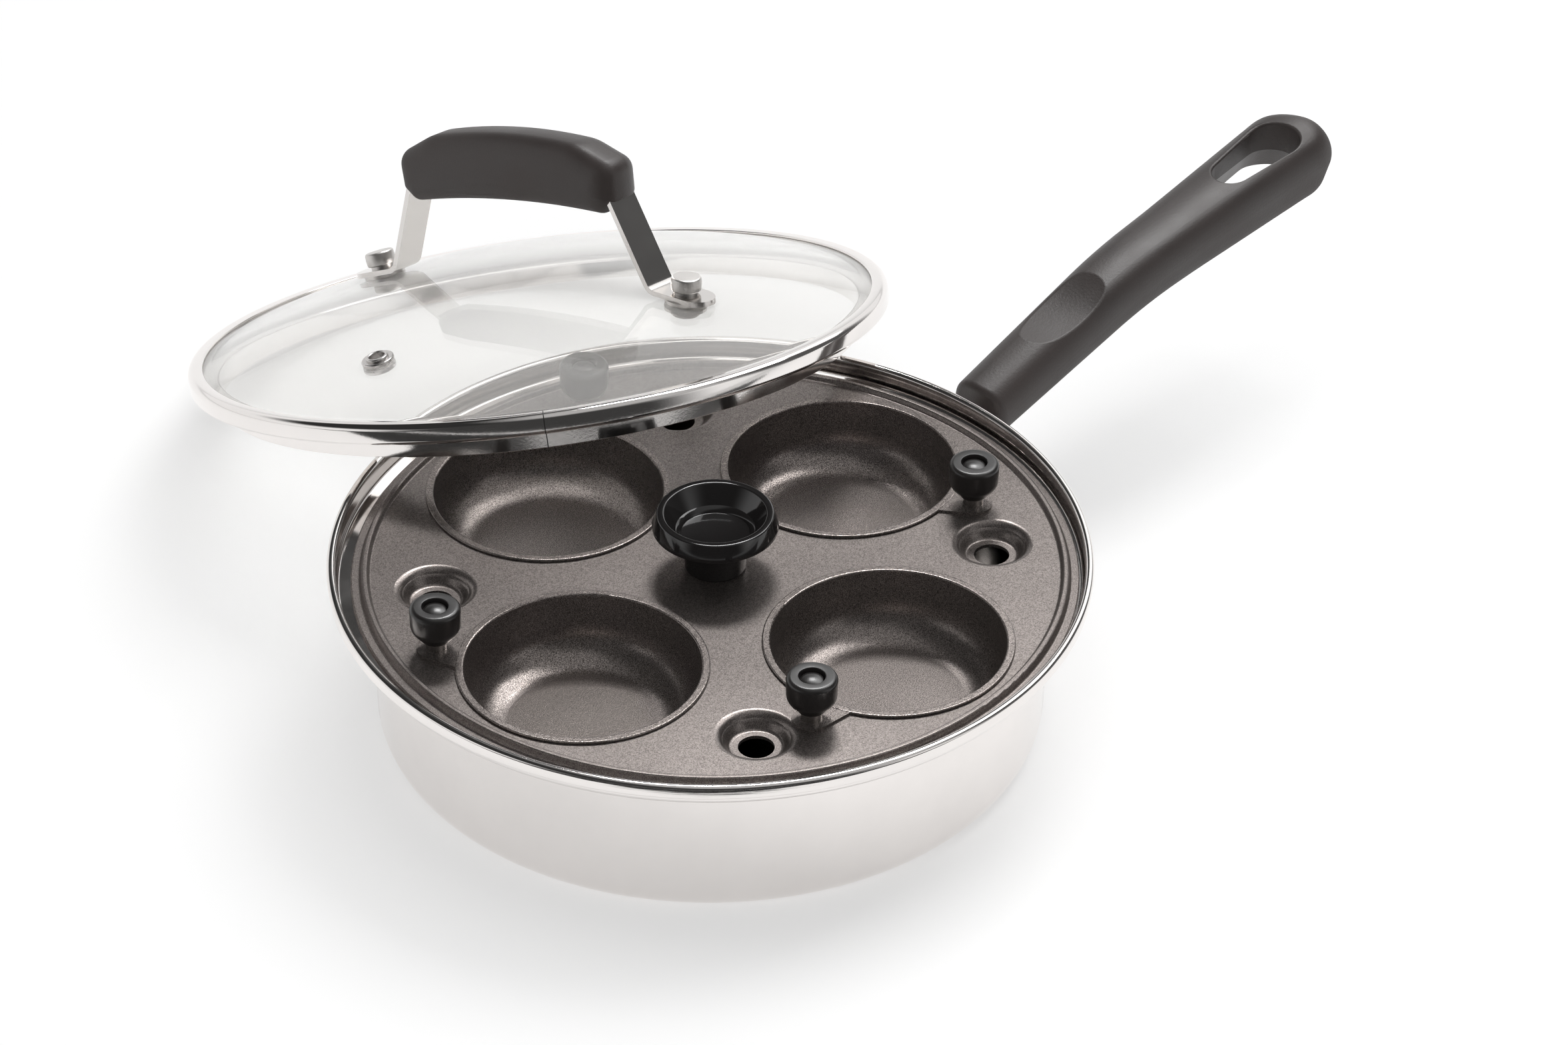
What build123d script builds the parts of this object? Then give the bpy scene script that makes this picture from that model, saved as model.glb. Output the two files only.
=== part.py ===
from build123d import *
import math
import os

# Egg poacher pan with its tray, four cups and a glass lid leaning on the rim.
# Lengths are in millimetres and angles in degrees.
# The origin is the centre of the pan's flat base, +Z is up and +X runs along the pan handle.
# Angles round the pan are counted from +X towards +Y.

# Pan, one pressed sheet with a hemmed rim and a ledge inside it
pan_sheet_t = 0.8
rim_outer_r = 105.0
rim_top_z = 52.2
rim_overhang = 11.65
pan_wall_taper = 0.95
pan_wall_top_r = rim_outer_r - rim_overhang
pan_base_r = pan_wall_top_r - pan_wall_taper
pan_corner_r = 7.7
rim_hem_t = 2.5
rim_top_round_share = 0.46
rim_top_round = rim_top_round_share * rim_hem_t
rim_hem_round = 0.6
rim_crease_round = 0.25
ledge_drop = 6.2
ledge_z = rim_top_z - ledge_drop
rim_plain_h = 3.1
ledge_inner_bend = 1.1
ledge_wall_bend = 2.4

# Handle bracket, a curved plate on the wall with a flat neck
bracket_plate_t = 1.6
bracket_plate_w = 30.0
bracket_plate_drop = 3.0
bracket_plate_h = 17.0
bracket_plate_high_z = ledge_z - bracket_plate_drop
bracket_plate_low_z = bracket_plate_high_z - bracket_plate_h
bracket_plate_round = 4.0
bracket_neck_w = 12.0
bracket_neck_t = 4.0
bracket_neck_drop = 3.0
bracket_neck_reach = 45.0
bracket_neck_round = 3.0

# Pan handle: its middle line in the plane of X and Z, with width and depth along it
handle_rim_gap = 0.1
handle_rim_drop = 6.9
handle_slope = 15.61
handle_bend_run = 62.9
handle_tip_run = 87.6
handle_tip_rise = 10.0
handle_start_h = 13.6
handle_bend_h = 15.2
handle_tip_h = 17.6
handle_start_w = 17.6
handle_mid_run = 89.0
handle_mid_w = 23.2
handle_tip_w = 29.8
handle_side_round = 300.0
handle_tip_flat_w = 0.4
handle_bend_round = 160.0
handle_edge_round_share = 0.475
handle_edge_round = handle_edge_round_share * handle_start_h
handle_end_round = 2.2
handle_tip_lean = 30.0
handle_near_lean = 18.0
handle_neck_clearance = 0.05
handle_end_margin = 8.0
seam_size = 0.01
handle_start_x = rim_outer_r + handle_rim_gap + handle_start_h / 2 * math.sin(math.radians(handle_slope))
handle_start_z = rim_top_z - handle_rim_drop
handle_bend_x = handle_start_x + handle_bend_run
handle_bend_z = handle_start_z + handle_bend_run * math.tan(math.radians(handle_slope))
handle_tip_x = handle_bend_x + handle_tip_run
handle_tip_z = handle_bend_z + handle_tip_rise
handle_mid_x = handle_start_x + handle_mid_run
bracket_neck_end_r = handle_start_x + bracket_neck_reach

# Hang hole, narrower towards the pan and flaring out on the underside
hang_far_inset = 18.9
hang_length = 18.6
hang_near_r = 5.8
hang_far_r = 8.1
hang_edge_round = 0.8
hang_side_shift = 0.8
hang_flare = 25.0
hang_far_x = handle_tip_x - hang_far_inset
hang_near_x = hang_far_x - hang_length
hang_mid_z = handle_bend_z + handle_tip_rise * (hang_far_x - handle_bend_x) / handle_tip_run

# Thumb hollow on top of the handle, with its rounding along and across the handle
thumb_run = 40.0
thumb_side_shift = 1.0
thumb_depth = 2.6
thumb_long_round = 47.5
thumb_cross_round = 21.4
thumb_mouth_round = 1.2
thumb_x = handle_start_x + thumb_run

# Handle screw, from below into the bracket's neck
handle_screw_run = 20.0
handle_screw_x = handle_start_x + handle_screw_run
handle_screw_r = 2.5
handle_screw_head_r = 4.2
handle_screw_head_h = 2.6
handle_screw_dome = 1.0
handle_screw_clearance = 0.3
handle_shoulder_t = 1.3
handle_washer_lap = 0.7
handle_washer_r = handle_screw_head_r + handle_washer_lap
handle_washer_t = 0.8
handle_recess_clearance = 0.5
handle_screw_recess_r = handle_washer_r + handle_recess_clearance

# Tray, one coated sheet on the ledge
tray_shift_x = 1.0
tray_shift_y = -0.9
tray_sheet_t = 1.0
tray_rise = 1.8
tray_top_z = ledge_z + tray_rise
tray_side_play = 2.7
tray_flange_w = 2.4
tray_bead_slope_w = 0.7
tray_bead_w = 1.3
tray_bead_h = 1.4
tray_bead_round = 0.5
tray_edge_round = 0.3
tray_foot_inset = 0.2
tray_foot_slope_w = 0.8
tray_flange_r = rim_outer_r - rim_hem_t - tray_side_play
tray_flange_start_r = tray_flange_r - tray_flange_w
tray_bead_outer_r = tray_flange_start_r - tray_bead_slope_w
tray_bead_inner_r = tray_bead_outer_r - tray_bead_w
tray_flat_r = tray_bead_inner_r - tray_bead_slope_w
tray_foot_r = tray_bead_inner_r - tray_foot_inset
tray_foot_start_r = tray_foot_r - tray_foot_slope_w

# Cups: four equal ones fill the tray's flat, with a gap between neighbours
quarter_turn = 90.0
cup_first_angle = 7.0
cup_edge_margin = 1.9
cup_gap = 14.47
cup_reach = tray_flat_r - cup_edge_margin
cup_lip_r = (cup_reach - cup_gap / math.sqrt(2)) / (1 + math.sqrt(2))
cup_pitch_r = cup_reach - cup_lip_r
cup_sheet_t = 0.8
cup_lip_w = 2.3
cup_mouth_r = cup_lip_r - cup_lip_w
cup_draft = 0.7
cup_floor_corner_r = cup_mouth_r - cup_draft
cup_depth = 19.6
cup_floor_round = 10.5
cup_lip_t = 0.9
cup_lip_round = 0.4
cup_mouth_round = 0.5
cup_hole_clearance = 0.35
tab_length = 6.1
tab_reach = cup_lip_r + tab_length
tab_end_r = 5.4
tab_root_w = 16.0
tab_root_inset = 0.9
tab_root_x = cup_mouth_r - tab_root_inset
cup_knob_turns = {
    "back_right": -78.8,
    "back_left": -66.5,
    "front_left": -64.5,
    "front_right": -84.5,
}

# Steam dimples
dimple_first_angle = -37.7
dimple_inset = 17.7
dimple_pitch_r = tray_flat_r - dimple_inset
dimple_hole_r = 4.9
dimple_floor_w = 1.8
dimple_slope_w = 4.5
dimple_floor_r = dimple_hole_r + dimple_floor_w
dimple_r = dimple_floor_r + dimple_slope_w
dimple_depth = 4.2
dimple_lip_round = 2.4
dimple_floor_round = 1.2

# Cup knobs with their collars and screws
cup_knob_h = 13.6
cup_collar_h = 3.0
cup_knob_top_r = 7.0
cup_knob_top_round = 1.4
cup_knob_taper = 0.2
cup_knob_belly_r = cup_knob_top_r - cup_knob_taper
cup_knob_belly_h = 3.4
cup_knob_belly_round = 4.0
cup_knob_neck_r = 4.0
cup_screw_r = 1.5
cup_screw_head_r = 3.1
cup_screw_head_h = 0.9
cup_screw_dome_h = 0.7
cup_knob_recess_clearance = 0.5
cup_knob_recess_r = cup_screw_head_r + cup_knob_recess_clearance
cup_knob_recess_h = 2.0
cup_collar_wall_t = 1.3
cup_collar_r = cup_screw_r + cup_collar_wall_t

# Centre knob
tray_knob_h = 17.8
tray_knob_skirt_r = 17.3
tray_knob_skirt_w = 1.3
tray_knob_lip_w = 1.9
tray_knob_dish_w = 3.75
tray_knob_ring_w = 0.85
tray_knob_lip_outer_r = tray_knob_skirt_r - tray_knob_skirt_w
tray_knob_lip_inner_r = tray_knob_lip_outer_r - tray_knob_lip_w
tray_knob_ring_r = tray_knob_lip_inner_r - tray_knob_dish_w
tray_knob_floor_r = tray_knob_ring_r - tray_knob_ring_w
tray_knob_skirt_drop = 3.8
tray_knob_skirt_t = 1.2
tray_knob_ring_drop = 6.1
tray_knob_ring_depth = 0.6
tray_knob_floor_drop = tray_knob_ring_drop + tray_knob_ring_depth
tray_knob_stem_top_r = 9.25
tray_knob_stem_base_r = 8.4
tray_knob_under_round = 3.0
tray_knob_lip_round = 0.6
tray_knob_edge_round = 0.35
tray_knob_foot_round = 0.8
tray_knob_crown_t = 2.1
tray_knob_bore_depth = tray_knob_h - tray_knob_floor_drop - tray_knob_crown_t
tray_screw_r = 2.5
tray_screw_tip_gap = 1.0
tray_screw_length = tray_knob_bore_depth - tray_screw_tip_gap
tray_screw_head_r = 4.4
tray_screw_head_h = 2.2
tray_screw_hole_clearance = 0.25
tray_washer_r = 7.0
tray_washer_t = 0.8

# Lid band, a steel channel round the glass with a skirt below
band_sheet_t = 0.7
band_top_round = 1.9
band_low_round = 1.3
skirt_inset = 9.17
skirt_h = 6.2
skirt_bend_round = 1.2

# Lid glass
glass_t = 4.0
glass_crown_h = 15.5
glass_seat_drop = band_sheet_t
glass_seat_clearance = 0.6
glass_side_clearance = 0.57
glass_rim_inset = 3.2
glass_edge_r = rim_outer_r - glass_rim_inset
glass_lap = 3.3
glass_seen_r = glass_edge_r - glass_lap
glass_edge_round = 0.9
band_outer_r = glass_edge_r + glass_side_clearance + band_sheet_t
band_h = 2 * band_sheet_t + glass_t + glass_seat_clearance
skirt_r = band_outer_r - skirt_inset
skirt_low_h = band_h + skirt_h

# Lean of the lid: its back stands on the table and its skirt crosses over the pan's rim.
# The share is how much of the skirt's diameter lies between the table and the crossing.
lid_lean_share = 0.8197
lid_floor_clearance = 0.31
lid_rim_clearance = 1.2
lid_lean_angle = 65.5
lid_side_shift = 0.7
lid_handle_angle = -81.7
lid_tilt = math.degrees(math.asin((rim_top_z - lid_floor_clearance) / (2 * lid_lean_share * skirt_r)))

# Steam vent, an eyelet through the glass
vent_inset = 30.0
vent_reach = glass_seen_r - vent_inset
vent_bore_r = 2.3
vent_wall_t = 1.0
vent_flange_w = 1.45
vent_tube_r = vent_bore_r + vent_wall_t
vent_flange_r = vent_tube_r + vent_flange_w
vent_flange_t = 0.9
vent_tube_h = 1.7
vent_rim_round = 0.35

# Lid handle: steel strap, grip and fixings, with heights from the band's top
foot_reach = 58.0
feet_angles = (0.0, 180.0)
foot_inner_length = 9.0
foot_end_length = 9.5
foot_lift = 1.0
strap_bend_x = foot_reach - foot_inner_length
foot_outer_reach = foot_reach + foot_end_length
strap_w = 11.0
strap_t = 1.5
strap_bend_round = 4.0
strap_shoulder_round = 3.0

grip_w = 18.0
grip_glass_gap = 19.9
grip_chin_h = glass_crown_h + grip_glass_gap
grip_low_mid_rise = 2.1
grip_low_mid_h = grip_chin_h + grip_low_mid_rise
grip_chin_x = 35.5
grip_chin_w = 4.3
grip_chin_rise = 4.0
grip_end_w = 0.5
grip_end_h = 10.4
grip_slope_w = 12.3
grip_slope_h = 5.6
grip_crown_rise = 2.1
grip_end_low_x = grip_chin_x + grip_chin_w
grip_end_low_h = grip_chin_h + grip_chin_rise
grip_end_x = grip_end_low_x + grip_end_w
grip_end_high_h = grip_end_low_h + grip_end_h
grip_top_x = grip_end_x - grip_slope_w
grip_top_h = grip_end_high_h + grip_slope_h
grip_crown_h = grip_top_h + grip_crown_rise
grip_chin_round = 2.0
grip_end_low_round = 1.2
grip_end_high_round = 4.5
grip_top_round = 16.0
grip_top_edge_round_share = 0.344
grip_top_edge_round = grip_top_edge_round_share * grip_w
strap_shoulder_out = 1.1
strap_shoulder_rise = 8.4
strap_shoulder_x = grip_chin_x + strap_shoulder_out
strap_bar_h = grip_chin_h + strap_shoulder_rise

lid_screw_r = 2.0
lid_screw_head_r = 4.4
lid_screw_head_h = 1.8
lid_screw_hole_clearance = 0.6
lid_nut_neck_r = 3.5
lid_nut_neck_h = 0.9
lid_nut_bulge = 0.85
lid_nut_r = lid_nut_neck_r + lid_nut_bulge
lid_nut_h = 5.0
lid_nut_round = 0.6
lid_washer_r = 6.2
lid_under_washer_t = 0.8


def turned(points, rounds):
    """A solid of revolution about Z from (radius, height) corners, each with its own rounding."""
    outline = FilletPolyline(*[(x, 0, z) for x, z in points], radius=rounds, close=True)
    return revolve(make_face(outline), axis=Axis.Z)


def crown_arc(reach, low, high):
    """A domed line from its rim, at a distance from Z, up to its crown on Z."""
    rise = high - low
    radius = (reach**2 + rise**2) / (2 * rise)
    half = reach / 2
    half_z = high - radius + math.sqrt(radius**2 - half**2)
    return ThreePointArc((reach, 0, low), (half, 0, half_z), (0, 0, high))


def wall_r(z):
    """Outer radius of the pan's wall at a height."""
    return pan_base_r + (pan_wall_top_r - pan_base_r) * z / (ledge_z - pan_sheet_t)


def on_handle(x, above=0.0):
    """A frame on the first run of the handle, its Z square to the run, above the middle line."""
    z = handle_start_z + (x - handle_start_x) * math.tan(math.radians(handle_slope))
    return Pos(x, 0, z) * Rot(0, -handle_slope, 0) * Pos(0, 0, above)


def pan_body():
    lip_inner_r = rim_outer_r - rim_hem_t
    lip_outer_r = lip_inner_r + pan_sheet_t
    ledge_under_z = ledge_z - pan_sheet_t
    hem_low_z = ledge_under_z + rim_plain_h
    corners = [
        (0, 0, 0),
        (pan_base_r, 0, pan_corner_r),
        (pan_wall_top_r, ledge_under_z, ledge_wall_bend),
        (lip_outer_r, ledge_under_z, ledge_inner_bend + pan_sheet_t),
        (lip_outer_r, hem_low_z, rim_crease_round),
        (rim_outer_r, hem_low_z, rim_hem_round),
        (rim_outer_r, rim_top_z, rim_top_round),
        (lip_inner_r, rim_top_z, rim_top_round),
        (lip_inner_r, ledge_z, ledge_inner_bend),
        (pan_wall_top_r - pan_sheet_t, ledge_z, ledge_wall_bend + pan_sheet_t),
        (pan_base_r - pan_sheet_t, pan_sheet_t, pan_corner_r - pan_sheet_t),
        (0, pan_sheet_t, 0),
    ]
    return turned([(x, z) for x, z, _ in corners], [r for _, _, r in corners])


def neck_bar(grow):
    """The flat neck of the bracket, or the slot for it when grown."""
    start_x = wall_r(bracket_plate_high_z)
    slope = math.radians(handle_slope)
    length = (bracket_neck_end_r - start_x) / math.cos(slope)
    width = bracket_neck_w + 2 * grow
    depth = bracket_neck_t + 2 * grow
    bar = Box(length, width, depth, align=(Align.MIN, Align.CENTER, Align.CENTER))
    far_edges = bar.edges().filter_by(Axis.Z).sort_by(Axis.X)[-2:]
    bar = fillet(far_edges, bracket_neck_round)
    return on_handle(start_x, -bracket_neck_drop) * bar


def pan_handle_bracket():
    low, high = bracket_plate_low_z, bracket_plate_high_z
    ring = turned(
        [
            (wall_r(low), low),
            (wall_r(low) + bracket_plate_t, low),
            (wall_r(high) + bracket_plate_t, high),
            (wall_r(high), high),
        ],
        [0, 0, 0, 0],
    )
    blank = Box(rim_outer_r, bracket_plate_w, high - low, align=(Align.MIN, Align.CENTER, Align.MIN))
    blank = fillet(blank.edges().filter_by(Axis.X), bracket_plate_round)
    plate = ring & (Pos(0, 0, low) * blank)
    inside = turned(
        [(0, 0), (wall_r(0), 0), (wall_r(ledge_z), ledge_z), (0, ledge_z)],
        [0, 0, 0, 0],
    )
    bracket = plate + (neck_bar(0) - inside)
    shank = on_handle(handle_screw_x) * Cylinder(handle_screw_r, handle_start_h)
    return bracket - shank


def handle_side():
    """Side outline of the handle, top and bottom lines parallel to its middle line."""
    lean = math.radians(handle_slope)
    tip_lean = math.atan2(handle_tip_z - handle_bend_z, handle_tip_x - handle_bend_x)
    past_z = handle_tip_z + handle_end_margin * math.tan(tip_lean)
    before_z = handle_start_z - handle_end_margin * math.tan(lean)
    stations = [
        (handle_start_x - handle_end_margin, before_z, handle_start_h / 2),
        (handle_bend_x, handle_bend_z, handle_bend_h / 2),
        (handle_tip_x + handle_end_margin, past_z, handle_tip_h / 2),
    ]
    leans = [lean, (lean + tip_lean) / 2, tip_lean]
    top = []
    low = []
    for (x, z, half), angle in zip(stations, leans):
        top.append((x - half * math.sin(angle), 0, z + half * math.cos(angle)))
        low.append((x + half * math.sin(angle), 0, z - half * math.cos(angle)))
    corners = top + low[::-1]
    rounds = [0, handle_bend_round, 0, 0, handle_bend_round, 0]
    return make_face(FilletPolyline(*corners, radius=rounds, close=True))


def handle_plan():
    """Plan outline of the handle: a flaring run on each side and a nearly full round tip."""
    back_x = handle_start_x - 2 * handle_end_margin
    flare = math.atan2(handle_tip_w - handle_mid_w, 2 * (handle_tip_x - handle_mid_x))
    tip_turn = math.pi / 2 + flare
    tip_round = (handle_tip_w - handle_tip_flat_w) / 2 / math.tan(tip_turn / 2)
    corners = [
        (back_x, handle_start_w / 2, 0),
        (handle_mid_x, handle_mid_w / 2, handle_side_round),
        (handle_tip_x, handle_tip_w / 2, tip_round),
    ]
    corners += [(x, -y, r) for x, y, r in reversed(corners)]
    outline = FilletPolyline(*[(x, y) for x, y, _ in corners], radius=[r for _, _, r in corners], close=True)
    return make_face(outline)


def rims_of(faces):
    """The long curved rims of a piece, without the seams straight across it or down it."""
    rims = []
    for edge in faces.edges():
        box = edge.bounding_box().size
        across = box.X < seam_size and box.Z < seam_size
        if box.Y > seam_size and not across:
            rims.append(edge)
    return rims


def pan_handle():
    reach = handle_tip_z + handle_tip_h
    side = extrude(handle_side(), amount=handle_tip_w, both=True)
    lean = math.radians(handle_tip_lean)
    plan = Pos(0, 0, handle_tip_z) * handle_plan()
    plan = extrude(plan, amount=reach, dir=(math.sin(lean), 0, math.cos(lean)), both=True)
    handle = side & plan
    handle = fillet(rims_of(handle), handle_edge_round)
    waste = Box(4 * handle_end_margin, handle_tip_w, reach, align=(Align.MAX, Align.CENTER, Align.CENTER))
    handle -= on_handle(handle_start_x, -handle_start_h / 2) * Rot(0, handle_near_lean, 0) * waste
    near = handle.faces().sort_by(Axis.X)[0]
    handle = fillet(near.edges(), handle_end_round)

    hang = make_hull(
        (Pos(hang_near_x, hang_side_shift) * Circle(hang_near_r)).edges()
        + (Pos(hang_far_x, hang_side_shift) * Circle(hang_far_r)).edges()
    )
    handle -= extrude(hang, amount=reach, both=True)
    handle -= extrude(Pos(0, 0, hang_mid_z) * hang, amount=-handle_tip_h, taper=-hang_flare)
    mouth = []
    for edge in handle.edges():
        box = edge.bounding_box()
        half_w = abs(box.center().Y - hang_side_shift) + box.size.Y / 2
        in_length = box.min.X > hang_near_x - hang_near_r - seam_size
        in_length = in_length and box.max.X < hang_far_x + hang_far_r + seam_size
        on_top = box.min.Z > hang_mid_z + hang_edge_round
        if in_length and on_top and half_w < hang_far_r + seam_size:
            mouth.append(edge)
    handle = fillet(mouth, hang_edge_round)

    share = thumb_run / handle_bend_run
    half = (handle_start_h + (handle_bend_h - handle_start_h) * share) / 2
    ring = Rot(90, 0, 0) * Torus(thumb_long_round - thumb_cross_round, thumb_cross_round)
    ring = on_handle(thumb_x, half + thumb_long_round - thumb_depth) * Pos(0, thumb_side_shift, 0) * ring
    handle -= ring
    hollow = handle.faces().filter_by(GeomType.TORUS).sort_by(SortBy.AREA)[-1]
    handle = fillet(hollow.edges(), thumb_mouth_round)

    handle -= neck_bar(handle_neck_clearance)
    downwards = (Align.CENTER, Align.CENTER, Align.MAX)
    recess = Cylinder(handle_screw_recess_r, handle_start_h, align=downwards)
    handle -= on_handle(handle_screw_x, screw_seat()) * recess
    bore = Cylinder(handle_screw_r + handle_screw_clearance, handle_start_h / 2, align=downwards)
    handle -= on_handle(handle_screw_x, -bracket_neck_drop) * bore
    return handle


def screw_seat():
    """Height of the handle's shoulder below its middle line."""
    return -bracket_neck_drop - bracket_neck_t / 2 - handle_neck_clearance - handle_shoulder_t


def pan_handle_washer():
    ring = Cylinder(handle_washer_r, handle_washer_t) - Cylinder(handle_screw_r, handle_washer_t)
    return on_handle(handle_screw_x, screw_seat() - handle_washer_t / 2) * ring


def pan_handle_screw():
    top = -bracket_neck_drop + bracket_neck_t / 2
    seat = screw_seat() - handle_washer_t
    low = seat - handle_screw_head_h
    corners = [
        (0, low, 0),
        (handle_screw_head_r, low, handle_screw_dome),
        (handle_screw_head_r, seat, 0),
        (handle_screw_r, seat, 0),
        (handle_screw_r, top, 0),
        (0, top, 0),
    ]
    screw = turned([(x, z) for x, z, _ in corners], [r for _, _, r in corners])
    return on_handle(handle_screw_x) * screw


def dimple():
    """A round-shouldered hollow pressed down round a steam hole."""
    t = tray_sheet_t
    floor_z = tray_top_z - dimple_depth
    corners = [
        (dimple_r + t, tray_top_z, 0),
        (dimple_r - t, tray_top_z, dimple_lip_round),
        (dimple_floor_r + t / 2, floor_z, dimple_floor_round),
        (dimple_hole_r, floor_z, 0),
        (dimple_hole_r, floor_z - t, 0),
        (dimple_floor_r, floor_z - t, dimple_floor_round),
        (dimple_r - 2 * t, tray_top_z - t, dimple_lip_round),
        (dimple_r + t, tray_top_z - t, 0),
    ]
    return turned([(x, z) for x, z, _ in corners], [r for _, _, r in corners])


def on_tray(reach, angle):
    return Pos(tray_shift_x, tray_shift_y, 0) * Rot(0, 0, angle) * Pos(reach, 0, 0)


def poacher_tray():
    bead_z = tray_top_z + tray_bead_h
    flange_top_z = ledge_z + tray_sheet_t
    centre_hole_r = tray_screw_r + tray_screw_hole_clearance
    corners = [
        (centre_hole_r, tray_top_z, 0),
        (tray_flat_r, tray_top_z, tray_bead_round),
        (tray_bead_inner_r, bead_z, tray_bead_round),
        (tray_bead_outer_r, bead_z, tray_bead_round),
        (tray_flange_start_r, flange_top_z, tray_bead_round),
        (tray_flange_r, flange_top_z, tray_edge_round),
        (tray_flange_r, ledge_z, tray_edge_round),
        (tray_foot_r, ledge_z, tray_edge_round),
        (tray_foot_start_r, tray_top_z - tray_sheet_t, tray_edge_round),
        (centre_hole_r, tray_top_z - tray_sheet_t, 0),
    ]
    tray = turned([(x, z) for x, z, _ in corners], [r for _, _, r in corners])
    tray = Pos(tray_shift_x, tray_shift_y, 0) * tray
    hole_r = cup_mouth_r + cup_sheet_t + cup_hole_clearance
    for turn in range(4):
        angle = quarter_turn * turn
        hole = Pos(0, 0, tray_top_z) * Cylinder(hole_r, tray_top_z)
        tray -= on_tray(cup_pitch_r, cup_first_angle + angle) * hole
        seat = on_tray(dimple_pitch_r, dimple_first_angle + angle)
        blank = Pos(0, 0, tray_top_z) * Cylinder(dimple_r + tray_sheet_t, tray_top_z)
        tray -= seat * blank
        tray += seat * dimple()
    return tray


def cup_shape():
    """A cup about its own axis, with its tab along +X."""
    lip_top = tray_top_z + cup_lip_t
    floor = lip_top - cup_depth
    t = cup_sheet_t
    corners = [
        (0, floor - t, 0),
        (cup_floor_corner_r + t, floor - t, cup_floor_round + t),
        (cup_mouth_r + t, tray_top_z, 0),
        (cup_lip_r, tray_top_z, cup_lip_round),
        (cup_lip_r, lip_top, cup_lip_round),
        (cup_mouth_r, lip_top, cup_mouth_round),
        (cup_floor_corner_r, floor, cup_floor_round),
        (0, floor, 0),
    ]
    cup = turned([(x, z) for x, z, _ in corners], [r for _, _, r in corners])
    root = Pos(tab_root_x, 0) * Circle(tab_root_w / 2)
    end = Pos(tab_reach, 0) * Circle(tab_end_r)
    tab = make_hull(root.edges() + end.edges())
    tab -= Circle((cup_mouth_r + cup_lip_r) / 2)
    tab = Pos(0, 0, tray_top_z) * extrude(tab, amount=cup_sheet_t)
    return cup + tab - Pos(tab_reach, 0, tray_top_z) * Cylinder(cup_screw_r, 2 * cup_lip_t)


def cup_knob_shape():
    base = tray_top_z + cup_sheet_t
    low = base + cup_collar_h
    top = base + cup_knob_h
    corners = [
        (cup_screw_r, low, 0),
        (cup_knob_neck_r, low, 0),
        (cup_knob_belly_r, low + cup_knob_belly_h, cup_knob_belly_round),
        (cup_knob_top_r, top, cup_knob_top_round),
        (cup_knob_recess_r, top, 0),
        (cup_knob_recess_r, top - cup_knob_recess_h, 0),
        (cup_screw_r, top - cup_knob_recess_h, 0),
    ]
    knob = turned([(x, z) for x, z, _ in corners], [r for _, _, r in corners])
    return Pos(tab_reach, 0, 0) * knob


def cup_collar_shape():
    base = tray_top_z + cup_sheet_t
    ring = Cylinder(cup_collar_r, cup_collar_h) - Cylinder(cup_screw_r, cup_collar_h)
    return Pos(tab_reach, 0, base + cup_collar_h / 2) * ring


def cup_screw_shape():
    seat = tray_top_z + cup_sheet_t + cup_knob_h - cup_knob_recess_h
    rim = seat + cup_screw_head_h
    crown = rim + cup_screw_dome_h
    outline = Polyline(
        (0, 0, crown),
        (0, 0, tray_top_z),
        (cup_screw_r, 0, tray_top_z),
        (cup_screw_r, 0, seat),
        (cup_screw_head_r, 0, seat),
        (cup_screw_head_r, 0, rim),
    )
    dome = crown_arc(cup_screw_head_r, rim, crown)
    screw = revolve(make_face([*outline.edges(), dome]), axis=Axis.Z)
    return Pos(tab_reach, 0, 0) * screw


def tray_knob():
    top = tray_top_z + tray_knob_h
    skirt_z = top - tray_knob_skirt_drop
    under_z = skirt_z - tray_knob_skirt_t
    bore_z = tray_top_z + tray_knob_bore_depth
    corners = [
        (0, bore_z, 0),
        (tray_screw_r, bore_z, 0),
        (tray_screw_r, tray_top_z, 0),
        (tray_knob_stem_base_r, tray_top_z, tray_knob_foot_round),
        (tray_knob_stem_top_r, under_z, tray_knob_under_round),
        (tray_knob_skirt_r, under_z, tray_knob_edge_round),
        (tray_knob_skirt_r, skirt_z, tray_knob_edge_round),
        (tray_knob_lip_outer_r, top, tray_knob_lip_round),
        (tray_knob_lip_inner_r, top, tray_knob_lip_round),
        (tray_knob_ring_r, top - tray_knob_ring_drop, tray_knob_edge_round),
        (tray_knob_floor_r, top - tray_knob_floor_drop, tray_knob_edge_round),
        (0, top - tray_knob_floor_drop, 0),
    ]
    knob = turned([(x, z) for x, z, _ in corners], [r for _, _, r in corners])
    return Pos(tray_shift_x, tray_shift_y, 0) * knob


def tray_knob_washer():
    ring = Cylinder(tray_washer_r, tray_washer_t) - Cylinder(tray_screw_r, tray_washer_t)
    return Pos(tray_shift_x, tray_shift_y, tray_top_z - tray_sheet_t - tray_washer_t / 2) * ring


def tray_knob_screw():
    seat = tray_top_z - tray_sheet_t - tray_washer_t
    low = seat - tray_screw_head_h
    top = tray_top_z + tray_screw_length
    corners = [
        (0, low, 0),
        (tray_screw_head_r, low, tray_screw_head_h / 2),
        (tray_screw_head_r, seat, 0),
        (tray_screw_r, seat, 0),
        (tray_screw_r, top, 0),
        (0, top, 0),
    ]
    screw = turned([(x, z) for x, z, _ in corners], [r for _, _, r in corners])
    return Pos(tray_shift_x, tray_shift_y, 0) * screw


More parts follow.
